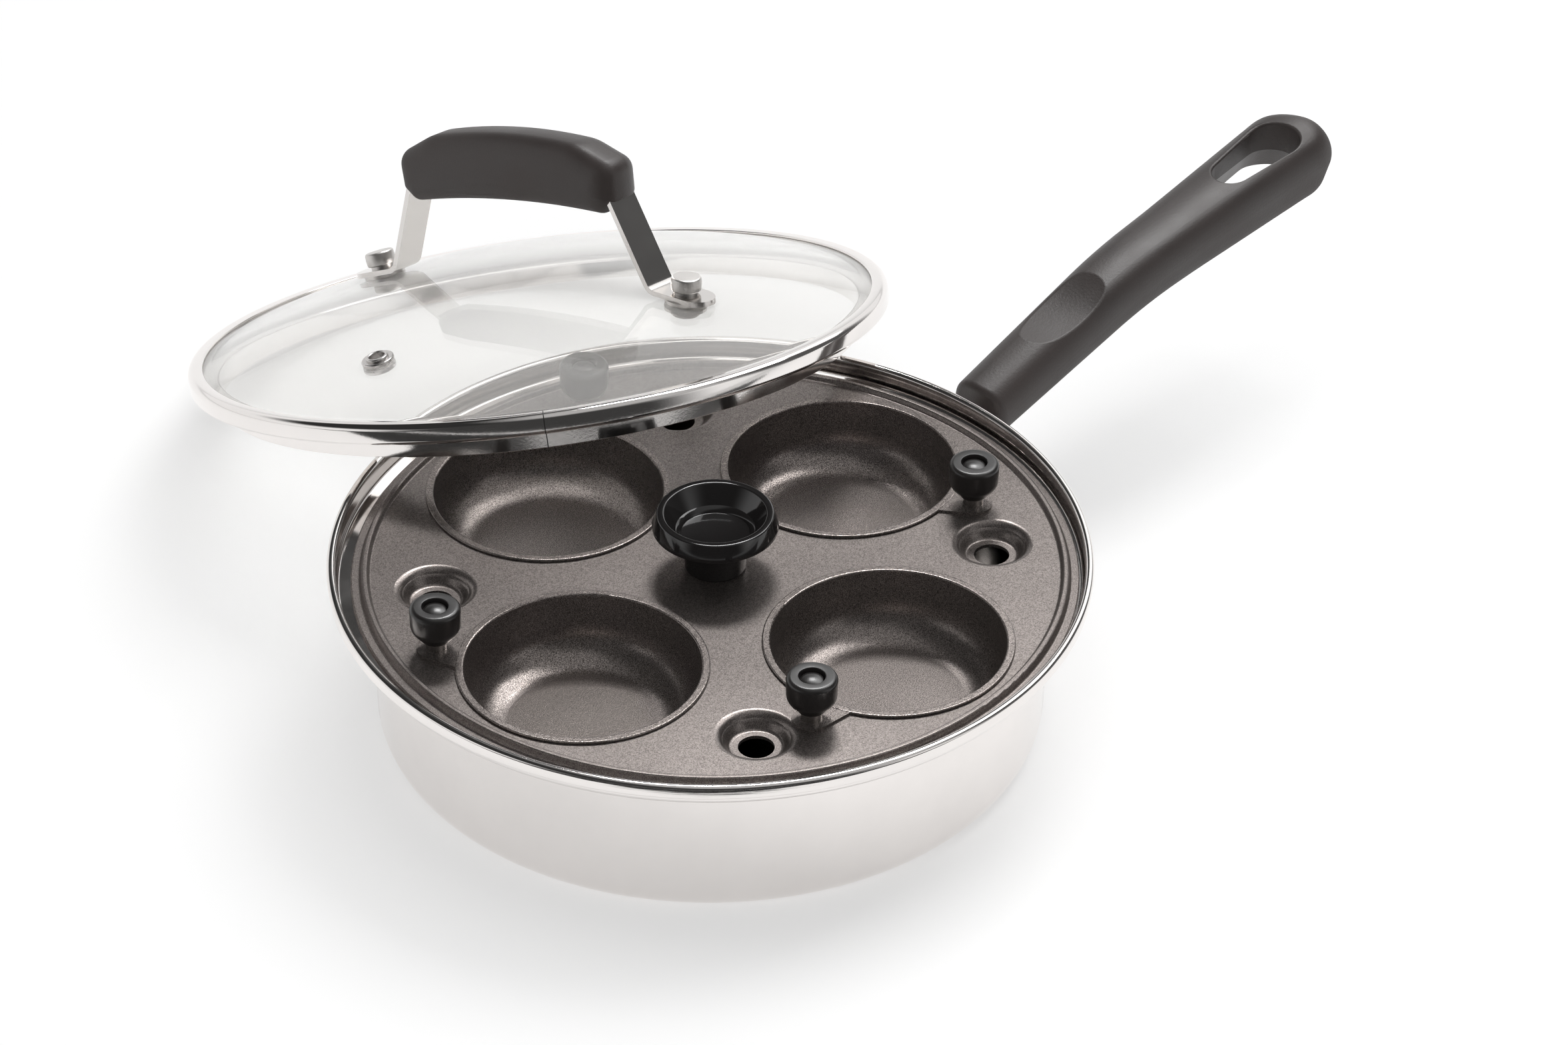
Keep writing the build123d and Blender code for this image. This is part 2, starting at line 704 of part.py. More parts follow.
def lid_place():
    """Where the lid's own frame stands, its Z the lid's axis and its X along the grip."""
    tilt = math.radians(lid_tilt)
    way = math.radians(lid_lean_angle)
    turn = math.radians(lid_handle_angle)
    height = skirt_r * math.sin(tilt) + skirt_low_h * math.cos(tilt) + lid_floor_clearance
    back = (2 * lid_lean_share - 1) * skirt_r
    side = math.sqrt(skirt_r**2 - back**2)
    crossing = math.sqrt((rim_outer_r + lid_rim_clearance) ** 2 - side**2)
    reach = crossing + back * math.cos(tilt) + skirt_low_h * math.sin(tilt)
    x = reach * math.cos(way) - lid_side_shift * math.sin(way)
    y = reach * math.sin(way) + lid_side_shift * math.cos(way)
    normal = Vector(math.sin(tilt) * math.cos(way), math.sin(tilt) * math.sin(way), math.cos(tilt))
    level = Vector(math.cos(turn), math.sin(turn), 0)
    rise = -level.dot(normal) / normal.Z
    return Plane((x, y, height), x_dir=(level.X, level.Y, rise), z_dir=normal).location


def dome_round():
    """Radius of the glass dome's outer face."""
    rise = glass_crown_h + glass_seat_drop
    return (glass_seen_r**2 + rise**2) / (2 * rise)


def dome_at(reach, below=0.0):
    """Height of the glass, or of a surface parallel to it, at a distance from the lid's axis."""
    radius = dome_round()
    centre = glass_crown_h - radius
    return centre + math.sqrt((radius - below) ** 2 - reach**2)


def dome_lean(reach):
    """Slope of the glass at a distance from the lid's axis."""
    return math.degrees(math.asin(reach / dome_round()))


def dome_sag(reach):
    """How far the hollow under face rises over a flat disc that rests on it by its edge."""
    inner_r = dome_round() - glass_t
    return inner_r - math.sqrt(inner_r**2 - reach**2)


def on_dome(reach, angle):
    """A frame square to the glass on its upper face, at a distance and an angle from the lid's X."""
    return Rot(0, 0, angle) * Pos(reach, 0, dome_at(reach)) * Rot(0, dome_lean(reach), 0)


def vent_place():
    return on_dome(vent_reach, -quarter_turn)


def lid_glass():
    radius = dome_round()
    seat = -glass_seat_drop
    under = seat - glass_t
    inner_r = radius - glass_t
    centre = glass_crown_h - radius
    inner_reach = math.sqrt(inner_r**2 - (under - centre) ** 2)
    upper = ThreePointArc(
        (0, 0, glass_crown_h),
        (glass_seen_r / 2, 0, dome_at(glass_seen_r / 2)),
        (glass_seen_r, 0, seat),
    )
    lower = ThreePointArc(
        (inner_reach, 0, under),
        (inner_reach / 2, 0, dome_at(inner_reach / 2, glass_t)),
        (0, 0, glass_crown_h - glass_t),
    )
    edge = FilletPolyline(
        (glass_seen_r, 0, seat),
        (glass_edge_r, 0, seat),
        (glass_edge_r, 0, under),
        (inner_reach, 0, under),
        radius=glass_edge_round,
    )
    axis = Line(lower @ 1, upper @ 0)
    glass = revolve(make_face([upper, *edge.edges(), lower, axis]), axis=Axis.Z)
    hole_r = lid_screw_r + lid_screw_hole_clearance
    for angle in feet_angles:
        glass -= on_dome(foot_reach, angle) * Cylinder(hole_r, 3 * glass_t)
    return glass - vent_place() * Cylinder(vent_tube_r, 3 * glass_t)


def lid_rim_band():
    t = band_sheet_t
    corners = [
        (glass_seen_r, 0, 0),
        (band_outer_r, 0, band_top_round),
        (band_outer_r, -band_h, band_low_round),
        (skirt_r, -band_h, skirt_bend_round / 2),
        (skirt_r, -skirt_low_h, 0),
        (skirt_r - t, -skirt_low_h, 0),
        (skirt_r - t, t - band_h, skirt_bend_round),
        (band_outer_r - t, t - band_h, band_low_round - t),
        (band_outer_r - t, -t, band_top_round - t),
        (glass_seen_r, -t, 0),
    ]
    return turned([(x, z) for x, z, _ in corners], [r for _, _, r in corners])


def steam_vent():
    under = -glass_t - dome_sag(vent_flange_r)
    low = under - vent_flange_t
    corners = [
        (vent_bore_r, low, 0),
        (vent_flange_r, low, vent_rim_round),
        (vent_flange_r, under, 0),
        (vent_tube_r, under, 0),
        (vent_tube_r, 0, 0),
        (vent_flange_r, 0, 0),
        (vent_flange_r, vent_flange_t, vent_rim_round),
        (vent_tube_r, vent_flange_t, 0),
        (vent_tube_r, vent_tube_h, vent_rim_round),
        (vent_bore_r, vent_tube_h, vent_rim_round),
    ]
    ring = turned([(x, z) for x, z, _ in corners], [r for _, _, r in corners])
    return vent_place() * ring


def strap_line():
    """Middle line of half the strap in the lid's plane of X and Z, from the grip outwards."""
    lean = math.radians(dome_lean(foot_reach))
    lift = foot_lift + strap_t / 2
    foot_x = foot_reach + lift * math.sin(lean)
    foot_z = dome_at(foot_reach) + lift * math.cos(lean)
    bend_z = foot_z + (foot_x - strap_bend_x) * math.tan(lean)
    end_z = foot_z - (foot_outer_reach - foot_x) * math.tan(lean)
    return [
        (strap_shoulder_x, strap_bar_h),
        (strap_bend_x, bend_z),
        (foot_outer_reach, end_z),
    ]


def lid_handle_strap():
    right = strap_line()
    left = [(-x, z) for x, z in reversed(right)]
    route = [(x, 0, z) for x, z in left + right]
    rounds = [strap_bend_round, strap_shoulder_round, strap_shoulder_round, strap_bend_round]
    line = FilletPolyline(*route, radius=rounds)
    section = Plane(origin=line @ 0, x_dir=(0, 1, 0), z_dir=line % 0) * Rectangle(strap_w, strap_t)
    strap = sweep(section, path=line)
    strap &= extrude(SlotOverall(2 * foot_outer_reach, strap_w), amount=grip_crown_h)
    for angle in feet_angles:
        strap -= on_dome(foot_reach, angle) * Cylinder(lid_screw_r, strap_bar_h / 2)
    return strap


def lid_handle_grip():
    low = ThreePointArc(
        (-grip_chin_x, 0, grip_chin_h),
        (0, 0, grip_low_mid_h),
        (grip_chin_x, 0, grip_chin_h),
    )
    crown = ThreePointArc(
        (-grip_top_x, 0, grip_top_h),
        (0, 0, grip_crown_h),
        (grip_top_x, 0, grip_top_h),
    )
    ends = []
    for side in (1, -1):
        corners = [
            (side * grip_chin_x, 0, grip_chin_h),
            (side * grip_end_low_x, 0, grip_end_low_h),
            (side * grip_end_x, 0, grip_end_high_h),
            (side * grip_top_x, 0, grip_top_h),
        ]
        ends.append(FilletPolyline(*corners, radius=[grip_end_low_round, grip_end_high_round]))
    outline = make_face([low, *ends[0].edges(), crown, *ends[1].edges()])
    grip = extrude(outline, amount=grip_w / 2, both=True)
    for x, radius in ((grip_chin_x, grip_chin_round), (grip_top_x, grip_top_round)):
        across = grip.edges().filter_by(Axis.Y)
        grip = fillet([e for e in across if abs(abs(e.center().X) - x) < seam_size], radius)
    upper = []
    for side in grip.faces().filter_by(Axis.Y):
        upper += [e for e in side.edges() if e.center().Z > grip_end_high_h - grip_end_high_round]
    grip = fillet(upper, grip_top_edge_round)
    return grip - lid_handle_strap()


def under_washer_low():
    """Lower face of the washers under the glass."""
    return -glass_t - dome_sag(lid_washer_r) - lid_under_washer_t


def lid_handle_screws():
    low = under_washer_low()
    top = foot_lift + strap_t + lid_nut_h
    corners = [
        (0, low - lid_screw_head_h, 0),
        (lid_screw_head_r, low - lid_screw_head_h, lid_screw_head_h / 2),
        (lid_screw_head_r, low, 0),
        (lid_screw_r, low, 0),
        (lid_screw_r, top, 0),
        (0, top, 0),
    ]
    screw = turned([(x, z) for x, z, _ in corners], [r for _, _, r in corners])
    return [on_dome(foot_reach, angle) * screw for angle in feet_angles]


def lid_handle_nuts():
    low = foot_lift + strap_t
    neck = low + lid_nut_neck_h
    top = low + lid_nut_h
    corners = [
        (lid_screw_r, low, 0),
        (lid_nut_neck_r, low, 0),
        (lid_nut_neck_r, neck, 0),
        (lid_nut_r, neck, lid_nut_round),
        (lid_nut_r, top, lid_nut_round),
        (lid_screw_r, top, 0),
    ]
    nut = turned([(x, z) for x, z, _ in corners], [r for _, _, r in corners])
    return [on_dome(foot_reach, angle) * nut for angle in feet_angles]


def flat_ring(outer_r, low, high):
    ring = Cylinder(outer_r, high - low) - Cylinder(lid_screw_r, high - low)
    return Pos(0, 0, (low + high) / 2) * ring


def lid_upper_washers():
    ring = flat_ring(lid_washer_r, 0, foot_lift)
    return [on_dome(foot_reach, angle) * ring for angle in feet_angles]


def lid_under_washers():
    ring = flat_ring(lid_washer_r, under_washer_low(), under_washer_low() + lid_under_washer_t)
    return [on_dome(foot_reach, angle) * ring for angle in feet_angles]


def save(name, shape):
    """One file for one named piece, or for a set of equal pieces."""
    solids = shape if isinstance(shape, list) else [shape]
    solids = [solid for item in solids for solid in item.solids()]
    model = solids[0] if len(solids) == 1 else Compound(children=solids)
    model.label = name
    export_step(model, f"parts/{name}.step")


os.makedirs("parts", exist_ok=True)

for name, shape in {
    "pan_body": pan_body(),
    "pan_handle_bracket": pan_handle_bracket(),
    "pan_handle": pan_handle(),
    "pan_handle_washer": pan_handle_washer(),
    "pan_handle_screw": pan_handle_screw(),
    "poacher_tray": poacher_tray(),
    "tray_knob": tray_knob(),
    "tray_knob_washer": tray_knob_washer(),
    "tray_knob_screw": tray_knob_screw(),
}.items():
    save(name, shape)

cup_pieces = {
    "cup": cup_shape(),
    "cup_knob": cup_knob_shape(),
    "cup_collar": cup_collar_shape(),
    "cup_screw": cup_screw_shape(),
}
for turn, (place, knob_turn) in enumerate(cup_knob_turns.items()):
    seat = on_tray(cup_pitch_r, cup_first_angle + quarter_turn * turn) * Rot(0, 0, knob_turn)
    for name, shape in cup_pieces.items():
        save(f"{name}_{place}", seat * shape)

lid = lid_place()
for name, shape in {
    "lid_glass": lid_glass(),
    "lid_rim_band": lid_rim_band(),
    "steam_vent": steam_vent(),
    "lid_handle_strap": lid_handle_strap(),
    "lid_handle_grip": lid_handle_grip(),
    "lid_handle_screws": lid_handle_screws(),
    "lid_handle_nuts": lid_handle_nuts(),
    "lid_upper_washers": lid_upper_washers(),
    "lid_under_washers": lid_under_washers(),
}.items():
    pieces = shape if isinstance(shape, list) else [shape]
    save(name, [lid * piece for piece in pieces])
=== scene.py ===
import math

import bmesh
import bpy
from mathutils import Matrix, Vector


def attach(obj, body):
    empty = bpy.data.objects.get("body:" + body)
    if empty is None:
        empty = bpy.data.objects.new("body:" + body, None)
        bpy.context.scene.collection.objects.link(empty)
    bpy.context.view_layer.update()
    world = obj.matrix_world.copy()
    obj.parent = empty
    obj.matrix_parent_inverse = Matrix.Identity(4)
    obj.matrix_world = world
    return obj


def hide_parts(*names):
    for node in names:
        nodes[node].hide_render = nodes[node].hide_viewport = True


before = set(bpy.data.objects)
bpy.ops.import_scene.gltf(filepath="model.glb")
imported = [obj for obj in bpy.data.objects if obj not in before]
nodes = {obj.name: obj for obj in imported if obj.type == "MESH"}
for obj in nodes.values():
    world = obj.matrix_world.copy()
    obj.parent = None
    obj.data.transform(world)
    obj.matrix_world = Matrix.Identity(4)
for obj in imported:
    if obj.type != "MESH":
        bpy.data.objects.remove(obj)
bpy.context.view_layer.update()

MM = 0.001
LEVEL = Matrix.Identity(4)

# The leaning lid: its Z is the lid's axis and its X runs along the grip

LID_PLACE = (0.05681, 0.12634, 0.04345)
LID_TILT = math.radians(19.7)
LID_WAY = math.radians(65.5)
GRIP_WAY = math.radians(-81.7)

lid_axis = Vector((
    math.sin(LID_TILT) * math.cos(LID_WAY), math.sin(LID_TILT) * math.sin(LID_WAY), math.cos(LID_TILT)))
grip_axis = Vector((math.cos(GRIP_WAY), math.sin(GRIP_WAY), 0))
grip_axis.z = -grip_axis.dot(lid_axis) / lid_axis.z
grip_axis.normalize()
across_grip = lid_axis.cross(grip_axis)
LID = Matrix.Translation(LID_PLACE) @ Matrix((grip_axis, across_grip, lid_axis)).transposed().to_4x4()


# Node material helpers

def fill(tree, node, **values):
    """Sets a node's inputs, named with underscores, to a number, a colour or another node's output.
    Names that no input has are the node's own settings."""
    for key, value in values.items():
        socket = node.inputs.get(key.replace("_", " "))
        if socket is None:
            setattr(node, key, value)
        elif isinstance(value, bpy.types.NodeSocket):
            tree.links.new(value, socket)
        else:
            socket.default_value = value
    return node


def add(tree, kind, **values):
    return fill(tree, tree.nodes.new(kind), **values)


def new_material(name):
    material = bpy.data.materials.new(name)
    material.use_nodes = True
    tree = material.node_tree
    return material, tree, tree.nodes["Principled BSDF"]


def position(tree):
    return tree.nodes.new("ShaderNodeTexCoord").outputs["Object"]


def noise(tree, place, scale, detail, rough=0.5):
    return add(tree, "ShaderNodeTexNoise", Scale=scale, Detail=detail, Roughness=rough,
               Vector=place).outputs["Fac"]


def ramp(tree, value, low, high, start=0.0, end=1.0, shape="LINEAR"):
    """A number mapped from start..end onto low..high, clamped; low and high can be outputs too."""
    return add(tree, "ShaderNodeMapRange", interpolation_type=shape, Value=value,
               From_Min=start, From_Max=end, To_Min=low, To_Max=high).outputs["Result"]


def vector_math(tree, operation, vector, other):
    """The outputs of an operation on an output and a fixed vector."""
    node = add(tree, "ShaderNodeVectorMath", operation=operation, Vector=vector)
    node.inputs[1].default_value = other
    return node.outputs


def colours(tree, value, stops):
    node = add(tree, "ShaderNodeValToRGB", Fac=value)
    band = node.color_ramp
    while len(band.elements) < len(stops):
        band.elements.new(0.5)
    for element, (place, colour) in zip(band.elements, stops):
        element.position = place
        element.color = (*colour, 1.0)
    return node.outputs["Color"]


def bump(tree, height, strength, distance, under=None):
    """A bump, on top of another one where that is given."""
    node = add(tree, "ShaderNodeBump", Strength=strength, Distance=distance, Height=height)
    if under is not None:
        fill(tree, node, Normal=under)
    return node.outputs["Normal"]


def crown(tree, place, centre, across, curve):
    """A height that falls off on both sides of a line, so that a flat top shades as a soft crown."""
    offset = vector_math(tree, "SUBTRACT", place, centre)["Vector"]
    aside = vector_math(tree, "DOT_PRODUCT", offset, across)["Value"]
    square = add(tree, "ShaderNodeMath", operation="MULTIPLY", Value=aside)
    tree.links.new(aside, square.inputs[1])
    fall = add(tree, "ShaderNodeMath", operation="MULTIPLY", Value=square.outputs[0])
    fall.inputs[1].default_value = -curve
    return bump(tree, fall.outputs[0], 1.0, 1.0)


def dimmed(colour, share):
    return tuple(c * share for c in colour)


# Materials

def steel(name, colour=(0.84, 0.808, 0.787), rough=0.08, grain=0.012, stretch=None):
    """Bare steel; a stretch of its fine grain makes it look brushed along the pressed rings."""
    material, tree, shader = new_material(name)
    place = position(tree)
    cloud = noise(tree, place, 60, 4, 0.6)
    brushed = vector_math(tree, "MULTIPLY", place, stretch)["Vector"] if stretch else place
    fine = noise(tree, brushed, 1400, 2, 0.6)
    fill(tree, shader, Metallic=1.0,
         Base_Color=colours(tree, cloud, [(0.3, dimmed(colour, 0.965)), (0.7, colour)]),
         Roughness=ramp(tree, cloud, rough * 0.75, rough * 1.35, 0.3, 0.7),
         Normal=bump(tree, fine, grain, 0.0004))
    return material


def coating(name, dark, light, rough):
    """Warm grey non-stick coating with fine metallic flecks."""
    material, tree, shader = new_material(name)
    place = position(tree)
    speck = noise(tree, place, 3400, 1)
    patch = noise(tree, place, 900, 2)
    cloud = noise(tree, place, 16, 3)
    middle = tuple((a + b) / 2 for a, b in zip(dark, light))
    mix = add(tree, "ShaderNodeMix", data_type="RGBA", blend_type="MULTIPLY")
    share, first, second = mix.inputs[0], mix.inputs[6], mix.inputs[7]
    share.default_value = 1.0
    tree.links.new(colours(tree, speck, [(0.36, dark), (0.5, middle), (0.7, light)]), first)
    tree.links.new(colours(tree, patch, [(0.35, (0.86, 0.86, 0.86)), (0.65, (1, 1, 1))]), second)
    fill(tree, shader, Metallic=0.8, Base_Color=mix.outputs[2],
         Roughness=ramp(tree, cloud, rough * 0.92, rough * 1.08, 0.35, 0.65),
         Normal=bump(tree, patch, 0.08, 0.0001, bump(tree, speck, 0.16, 0.00005)))
    return material


def phenolic(name, colour, rough, grain=0.0, scale=1500, soft=None):
    """Black moulded plastic, with pits where it has a grain and a crown where one is given."""
    material, tree, shader = new_material(name)
    place = position(tree)
    cloud = noise(tree, place, 35, 4, 0.6)
    fill(tree, shader, IOR=1.55,
         Base_Color=colours(tree, cloud, [(0.3, dimmed(colour, 0.85)), (0.7, dimmed(colour, 1.2))]),
         Roughness=ramp(tree, cloud, rough * 0.85, rough * 1.15, 0.3, 0.7))
    if grain:
        pits = noise(tree, place, scale, 3, 0.65)
        rounding = crown(tree, place, *soft) if soft else None
        fill(tree, shader, Normal=bump(tree, pits, grain, 0.0002, rounding))
    return material


def clear_glass(name):
    """Clear glass with a thin pale diffuse film mixed over it: a painted reflection of the bright studio
    around it.
    """
    material, tree, shader = new_material(name)
    cloud = noise(tree, position(tree), 8, 2)
    fill(tree, shader, Transmission_Weight=1.0, IOR=1.5, Base_Color=(0.97, 0.972, 0.965, 1.0),
         Roughness=ramp(tree, cloud, 0.0, 0.012, 0.3, 0.7))
    # A pale diffuse film, 17 % of the surface, paints in the whitish reflection of the bright
    # surroundings
    painted_reflection_film = add(tree, "ShaderNodeBsdfDiffuse", Color=(0.95, 0.93, 0.905, 1.0))
    mix = add(tree, "ShaderNodeMixShader", Fac=0.17)
    tree.links.new(shader.outputs[0], mix.inputs[1])
    tree.links.new(painted_reflection_film.outputs[0], mix.inputs[2])
    fill(tree, tree.nodes["Material Output"], Surface=mix.outputs[0])
    return material


WORN_BLACK = (0.036, 0.028, 0.026)
HANDLE_CROWN = ((0, 0, 0), (0, 1, 0), 26)
GRIP_CROWN = (LID.translation, across_grip, 34)

looks = {
    "polished": steel("polished_steel"),
    "strap": steel("strap_steel", (0.7, 0.675, 0.655), 0.16, 0.03),
    "pressed": steel("pressed_steel", rough=0.1, grain=0.05, stretch=(0.03, 0.03, 1.4)),
    "satin": steel("satin_steel", (0.62, 0.6, 0.585), 0.26, 0.05),
    "turned": steel("turned_steel", (0.68, 0.655, 0.63), 0.2, 0.04),
    "nut": steel("nut_steel", (0.66, 0.64, 0.62), 0.4, 0.12),
    "coating": coating("nonstick_coating", (0.12, 0.104, 0.097), (0.26, 0.232, 0.218), 0.31),
    "bowl": coating("nonstick_bowl", (0.1, 0.086, 0.08), (0.36, 0.32, 0.3), 0.27),
    "gloss": phenolic("gloss_phenolic", (0.012, 0.011, 0.011), 0.07),
    "matt": phenolic("matt_phenolic", (0.014, 0.0125, 0.012), 0.3, 0.05),
    "grained": phenolic("textured_phenolic", WORN_BLACK, 0.5, 0.35, 1300, HANDLE_CROWN),
    "grip": phenolic("grip_phenolic", WORN_BLACK, 0.48, 0.3, 1300, GRIP_CROWN),
    "glass": clear_glass("clear_glass"),
}

# CAD pieces that keep their shape and take a look

QUARTERS = ("back_right", "back_left", "front_left", "front_right")
dress = {
    "pan_handle_bracket": "satin", "pan_handle": "grained", "pan_handle_washer": "turned",
    "pan_handle_screw": "turned", "poacher_tray": "coating", "tray_knob_washer": "turned",
    "tray_knob_screw": "turned", "lid_handle_strap": "strap", "lid_handle_grip": "grip",
    "lid_handle_screws": "turned", "lid_upper_washers": "turned", "lid_under_washers": "turned",
}
for quarter in QUARTERS:
    dress[f"cup_{quarter}"] = "bowl"
    dress[f"cup_collar_{quarter}"] = "turned"
for name, look in dress.items():
    mesh = nodes[name].data
    mesh.materials.clear()
    mesh.materials.append(looks[look])


# Turned pieces, drawn finely from their corners (radius, height, rounding) in millimetres

ON_AXIS = 1e-6


def rounded(corners, fineness=8):
    """A closed outline with its corners rounded, each quarter turn in so many steps."""
    line = []
    for i, (x, z, r) in enumerate(corners):
        here = Vector((x, z))
        if r <= 0:
            line.append(here)
            continue
        to_last = (Vector(corners[i - 1][:2]) - here).normalized()
        to_next = (Vector(corners[(i + 1) % len(corners)][:2]) - here).normalized()
        half = to_last.angle(to_next) / 2
        centre = here + (to_last + to_next).normalized() * (r / math.sin(half))
        start = here + to_last * (r / math.tan(half)) - centre
        turn = math.pi - 2 * half
        sign = 1 if to_last.x * to_next.y - to_last.y * to_next.x < 0 else -1
        steps = max(3, round(fineness * turn / (math.pi / 2)))
        for step in range(steps + 1):
            angle = sign * turn * step / steps
            line.append(centre + Vector((
                start.x * math.cos(angle) - start.y * math.sin(angle),
                start.x * math.sin(angle) + start.y * math.cos(angle))))
    return line


def mesh_object(name, verts, faces, look, place=LEVEL, crease=28):
    """An object from points in millimetres, smooth but for edges sharper than the crease in degrees."""
    mesh = bpy.data.meshes.new(name)
    mesh.from_pydata([tuple(c * MM for c in v) for v in verts], [], faces)
    work = bmesh.new()
    work.from_mesh(mesh)
    bmesh.ops.recalc_face_normals(work, faces=work.faces)
    work.to_mesh(mesh)
    work.free()
    mesh.shade_smooth()
    mesh.set_sharp_from_angle(angle=math.radians(crease))
    mesh.materials.append(looks[look])
    obj = bpy.data.objects.new(name, mesh)
    bpy.context.scene.collection.objects.link(obj)
    obj.matrix_world = place
    return obj


def lathe(name, line, look, place=LEVEL, steps=192, crease=28):
    """A closed outline turned round the Z axis, with a single point where it meets the axis."""
    verts, rings = [], []
    for point in line:
        if point.x < ON_AXIS:
            rings.append([len(verts)] * steps)
            verts.append((0, 0, point.y))
            continue
        rings.append(list(range(len(verts), len(verts) + steps)))
        for step in range(steps):
            angle = 2 * math.pi * step / steps
            verts.append((point.x * math.cos(angle), point.x * math.sin(angle), point.y))
    faces = []
    for ring, after in zip(rings, rings[1:] + rings[:1]):
        for step in range(steps):
            other = (step + 1) % steps
            face = [ring[step], after[step], after[other], ring[other]]
            face = [v for i, v in enumerate(face) if v not in face[:i]]
            if len(face) > 2:
                faces.append(tuple(face))
    return mesh_object(name, verts, faces, look, place, crease)


def turned_by(degrees):
    return Matrix.Rotation(math.radians(degrees), 4, "Z")


def stands_for(obj, node, body):
    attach(obj, body)
    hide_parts(node)


# Pan body: a pressed shell with a ledge for the tray and a hemmed rim

SHEET = 0.8
BASE_R = 92.4
WALL_R = 93.35
NECK_R = 103.3
RIM_R = 105
LEDGE_H = 45.2
HEM_H = 48.3
RIM_H = 52.2
BASE_BEND = 6.9
LEDGE_BEND = 2.4
NECK_BEND = 1.1
HEM_EDGE = 0.25
HEM_ROUND = 0.6
RIM_ROUND = 1.15

outside = [
    (0, 0, 0), (BASE_R, 0, BASE_BEND + SHEET), (WALL_R, LEDGE_H, LEDGE_BEND),
    (NECK_R, LEDGE_H, NECK_BEND + SHEET), (NECK_R, HEM_H, HEM_EDGE), (RIM_R, HEM_H, HEM_ROUND),
    (RIM_R, RIM_H, RIM_ROUND)]
inside = [
    (NECK_R - SHEET, RIM_H, RIM_ROUND), (NECK_R - SHEET, LEDGE_H + SHEET, NECK_BEND),
    (WALL_R - SHEET, LEDGE_H + SHEET, LEDGE_BEND + SHEET), (BASE_R - SHEET, SHEET, BASE_BEND),
    (0, SHEET, 0)]
pan = lathe("pan_shell", rounded(outside + inside, 12), "pressed", steps=360)
stands_for(pan, "pan_body", "pan")


# Tray and cups

TRAY = Vector((1.0, -0.9, 0))
TRAY_TOP = 47.8
EDGE = 0.35
KNOB_BORE_R = 2.5
KNOB_BORE_H = 56.8
KNOB_STEM_R = 8.4
KNOB_DISH_R = 9.5
KNOB_DISH_H = 58.9
KNOB_FLANGE_R = 17.3
KNOB_FLANGE_H = 60.6
KNOB_TOP_H = 65.6

CUP_REACH = 58.6
CUP_START = 7
CUP_TURNS = {"back_right": -78.8, "back_left": -66.5, "front_left": -64.5, "front_right": -84.5}
TIP_REACH = 40.3
SHANK_R = 1.5
COLLAR_TOP = 51.6
SMALL_KNOB_FOOT_R = 4
SMALL_KNOB_WAIST_H = 55
SMALL_KNOB_R = 7
SMALL_KNOB_H = 62.2
RECESS_R = 3.6
RECESS_H = 60.2
BUTTON_R = 3.1


def outwards(reach):
    return Matrix.Translation((reach * MM, 0, 0))


def round_tray(reach, degrees):
    """A place on the tray, its X pointing outwards, in metres."""
    return Matrix.Translation(TRAY * MM) @ turned_by(degrees) @ outwards(reach)


knob = lathe("centre_knob", rounded([
    (0, KNOB_BORE_H, 0), (KNOB_BORE_R, KNOB_BORE_H, 0), (KNOB_BORE_R, TRAY_TOP, 0),
    (KNOB_STEM_R, TRAY_TOP, 0.8), (KNOB_STEM_R + 0.85, KNOB_FLANGE_H, 3),
    (KNOB_FLANGE_R, KNOB_FLANGE_H, EDGE), (KNOB_FLANGE_R, KNOB_FLANGE_H + 1.2, EDGE),
    (KNOB_FLANGE_R - 1.3, KNOB_TOP_H, 0.6), (KNOB_FLANGE_R - 3.2, KNOB_TOP_H, 0.6),
    (KNOB_DISH_R + 0.85, KNOB_DISH_H + 0.6, EDGE), (KNOB_DISH_R, KNOB_DISH_H, EDGE),
    (0, KNOB_DISH_H, 0)]), "gloss", Matrix.Translation(TRAY * MM), 144)
stands_for(knob, "tray_knob", "tray")

small_knob = rounded([
    (SHANK_R, COLLAR_TOP, 0), (SMALL_KNOB_FOOT_R, COLLAR_TOP, 0),
    (SMALL_KNOB_R - 0.2, SMALL_KNOB_WAIST_H, 4), (SMALL_KNOB_R, SMALL_KNOB_H, 1.4),
    (RECESS_R, SMALL_KNOB_H, 0.25), (RECESS_R, RECESS_H, 0), (SHANK_R, RECESS_H, 0)], 10)
button_head = [Vector(corner) for corner in (
    (0, TRAY_TOP), (SHANK_R, TRAY_TOP), (SHANK_R, RECESS_H), (BUTTON_R, RECESS_H), (BUTTON_R, 61.0),
    (3.0, 61.15), (2.6, 61.35), (2.0, 61.55), (1.2, 61.72), (0.6, 61.79), (0, 61.8))]
for k, quarter in enumerate(QUARTERS):
    body = f"{quarter}_cup"
    tip = round_tray(CUP_REACH, CUP_START + 90 * k) @ turned_by(CUP_TURNS[quarter]) @ outwards(TIP_REACH)
    knob = lathe(f"small_knob_{quarter}", small_knob, "matt", tip, 96)
    stands_for(knob, f"cup_knob_{quarter}", body)
    button = lathe(f"knob_button_{quarter}", button_head, "matt", tip, 64)
    stands_for(button, f"cup_screw_{quarter}", body)


# Lid: heights count along its axis from the top of its band, and the vent's and nuts' from the glass

GLASS_R = 98.5
GLASS_RISE = 16.2
GLASS_TOP = 15.5
GLASS = 4
GLASS_EDGE_R = 101.8
GLASS_EDGE_H = -0.7
GLASS_EDGE_ROUND = 0.9
GLASS_UNDER_R = 97.3
GLASS_STEPS = 40
DOME_R = (GLASS_R**2 + GLASS_RISE**2) / (2 * GLASS_RISE)

BAND = 0.7
BAND_R = 103.07
BAND_LOW = -6
SKIRT_R = 93.9
SKIRT_LOW = -12.2

SEAM_DEGREES = -48.7
SEAM_W = 0.28
SEAM_LIFT = 0.03
SEAM_START_R = 99
SEAM_SIDE_H = -5.9
SEAM_TOP_H = -0.5

